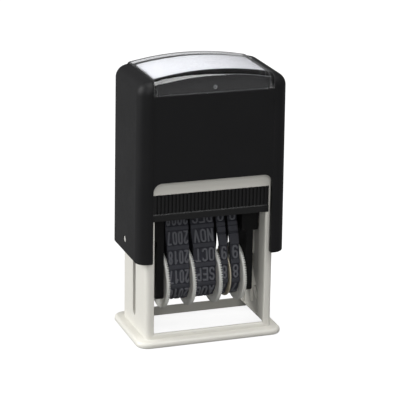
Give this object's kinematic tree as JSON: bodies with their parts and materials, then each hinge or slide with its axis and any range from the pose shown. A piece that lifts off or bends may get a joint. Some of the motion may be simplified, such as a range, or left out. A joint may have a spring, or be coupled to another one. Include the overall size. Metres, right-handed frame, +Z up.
{
  "type": "rotary date stamp",
  "caption": "Small self-inking date stamp: black sprung cap over an ivory frame, with type bands, thumbwheels and a print unit that turns over to the paper.",
  "frame": {"origin": "middle of the foot's underside, where the stamp stands", "axes": "+X along the printed line, +Y to the back, +Z up along the cap's travel"},
  "size_m": [0.0402, 0.025, 0.0725],
  "materials": {
    "black_satin": "fine satin moulded ABS",
    "black_cassette": "ribbed satin moulded plastic",
    "black_unit": "satin moulded plastic",
    "ivory_plastic": "light warm grey satin plastic",
    "clear_plastic": "clear polished plastic",
    "white_card": "smooth white paper card",
    "white_pin": "natural acetal",
    "cream_plastic": "thin cream plastic",
    "milky_plastic": "milky translucent plastic",
    "slate_rubber": "dark slate moulded rubber",
    "ink_foam": "ink-soaked felt foam",
    "spring_steel": "drawn steel wire"
  },
  "bodies": {
    "base": {"base_frame": "ivory_plastic", "main_spring": "spring_steel"},
    "cassette": {"ink_cassette": "black_cassette", "ink_pad": "ink_foam"},
    "cap": {"cap_housing": "black_satin", "index_label": "white_card", "pivot_pin_left": "white_pin", "pivot_pin_right": "white_pin"},
    "window": {"clear_window": "clear_plastic"},
    "print_unit": {"left_cheek": "black_unit", "right_cheek": "black_unit", "follower_pin_left": "white_pin", "follower_pin_right": "white_pin", "print_core": "black_unit", "wheel_axle": "spring_steel", "spacer_disc": "cream_plastic", "year_band": "slate_rubber", "month_band": "slate_rubber", "tens_band": "slate_rubber", "units_band": "slate_rubber"},
    "year_setting": {"year_wheel": "milky_plastic"},
    "month_setting": {"month_wheel": "milky_plastic"},
    "tens_setting": {"tens_wheel": "milky_plastic"},
    "units_setting": {"units_wheel": "milky_plastic"}
  },
  "joints": [
    {"name": "cap_press", "type": "slide", "parent": "base", "child": "cap", "axis": [0, 0, -1], "range_m": [0, 0.0184], "stiffness_N_per_m": 300, "springref_m": -0.02, "deforming": ["main_spring"]},
    {"name": "unit_flip", "type": "hinge", "parent": "cap", "child": "print_unit", "pos_m": [0, 0, 0.0264], "axis": [-1, 0, 0], "range_deg": [0, 180]},
    {"name": "window_lift", "type": "slide", "parent": "cap", "child": "window", "axis": [0, 0, 1], "range_m": [0, 0.01]},
    {"name": "cassette_slide", "type": "slide", "parent": "base", "child": "cassette", "axis": [0, 1, 0], "range_m": [-0.022, 0]},
    {"name": "year_wheel_turn", "type": "hinge", "parent": "print_unit", "child": "year_setting", "pos_m": [-0.00705, 0, 0.01465], "axis": [1, 0, 0], "continuous": true},
    {"name": "month_wheel_turn", "type": "hinge", "parent": "print_unit", "child": "month_setting", "pos_m": [0, 0, 0.01465], "axis": [1, 0, 0], "continuous": true},
    {"name": "tens_wheel_turn", "type": "hinge", "parent": "print_unit", "child": "tens_setting", "pos_m": [0.0045, 0, 0.01465], "axis": [1, 0, 0], "continuous": true},
    {"name": "units_wheel_turn", "type": "hinge", "parent": "print_unit", "child": "units_setting", "pos_m": [0.009, 0, 0.01465], "axis": [1, 0, 0], "continuous": true}
  ],
  "couplings": [
    {"joint": "unit_flip", "follows": "cap_press", "rad_per_m": 170.74}
  ]
}
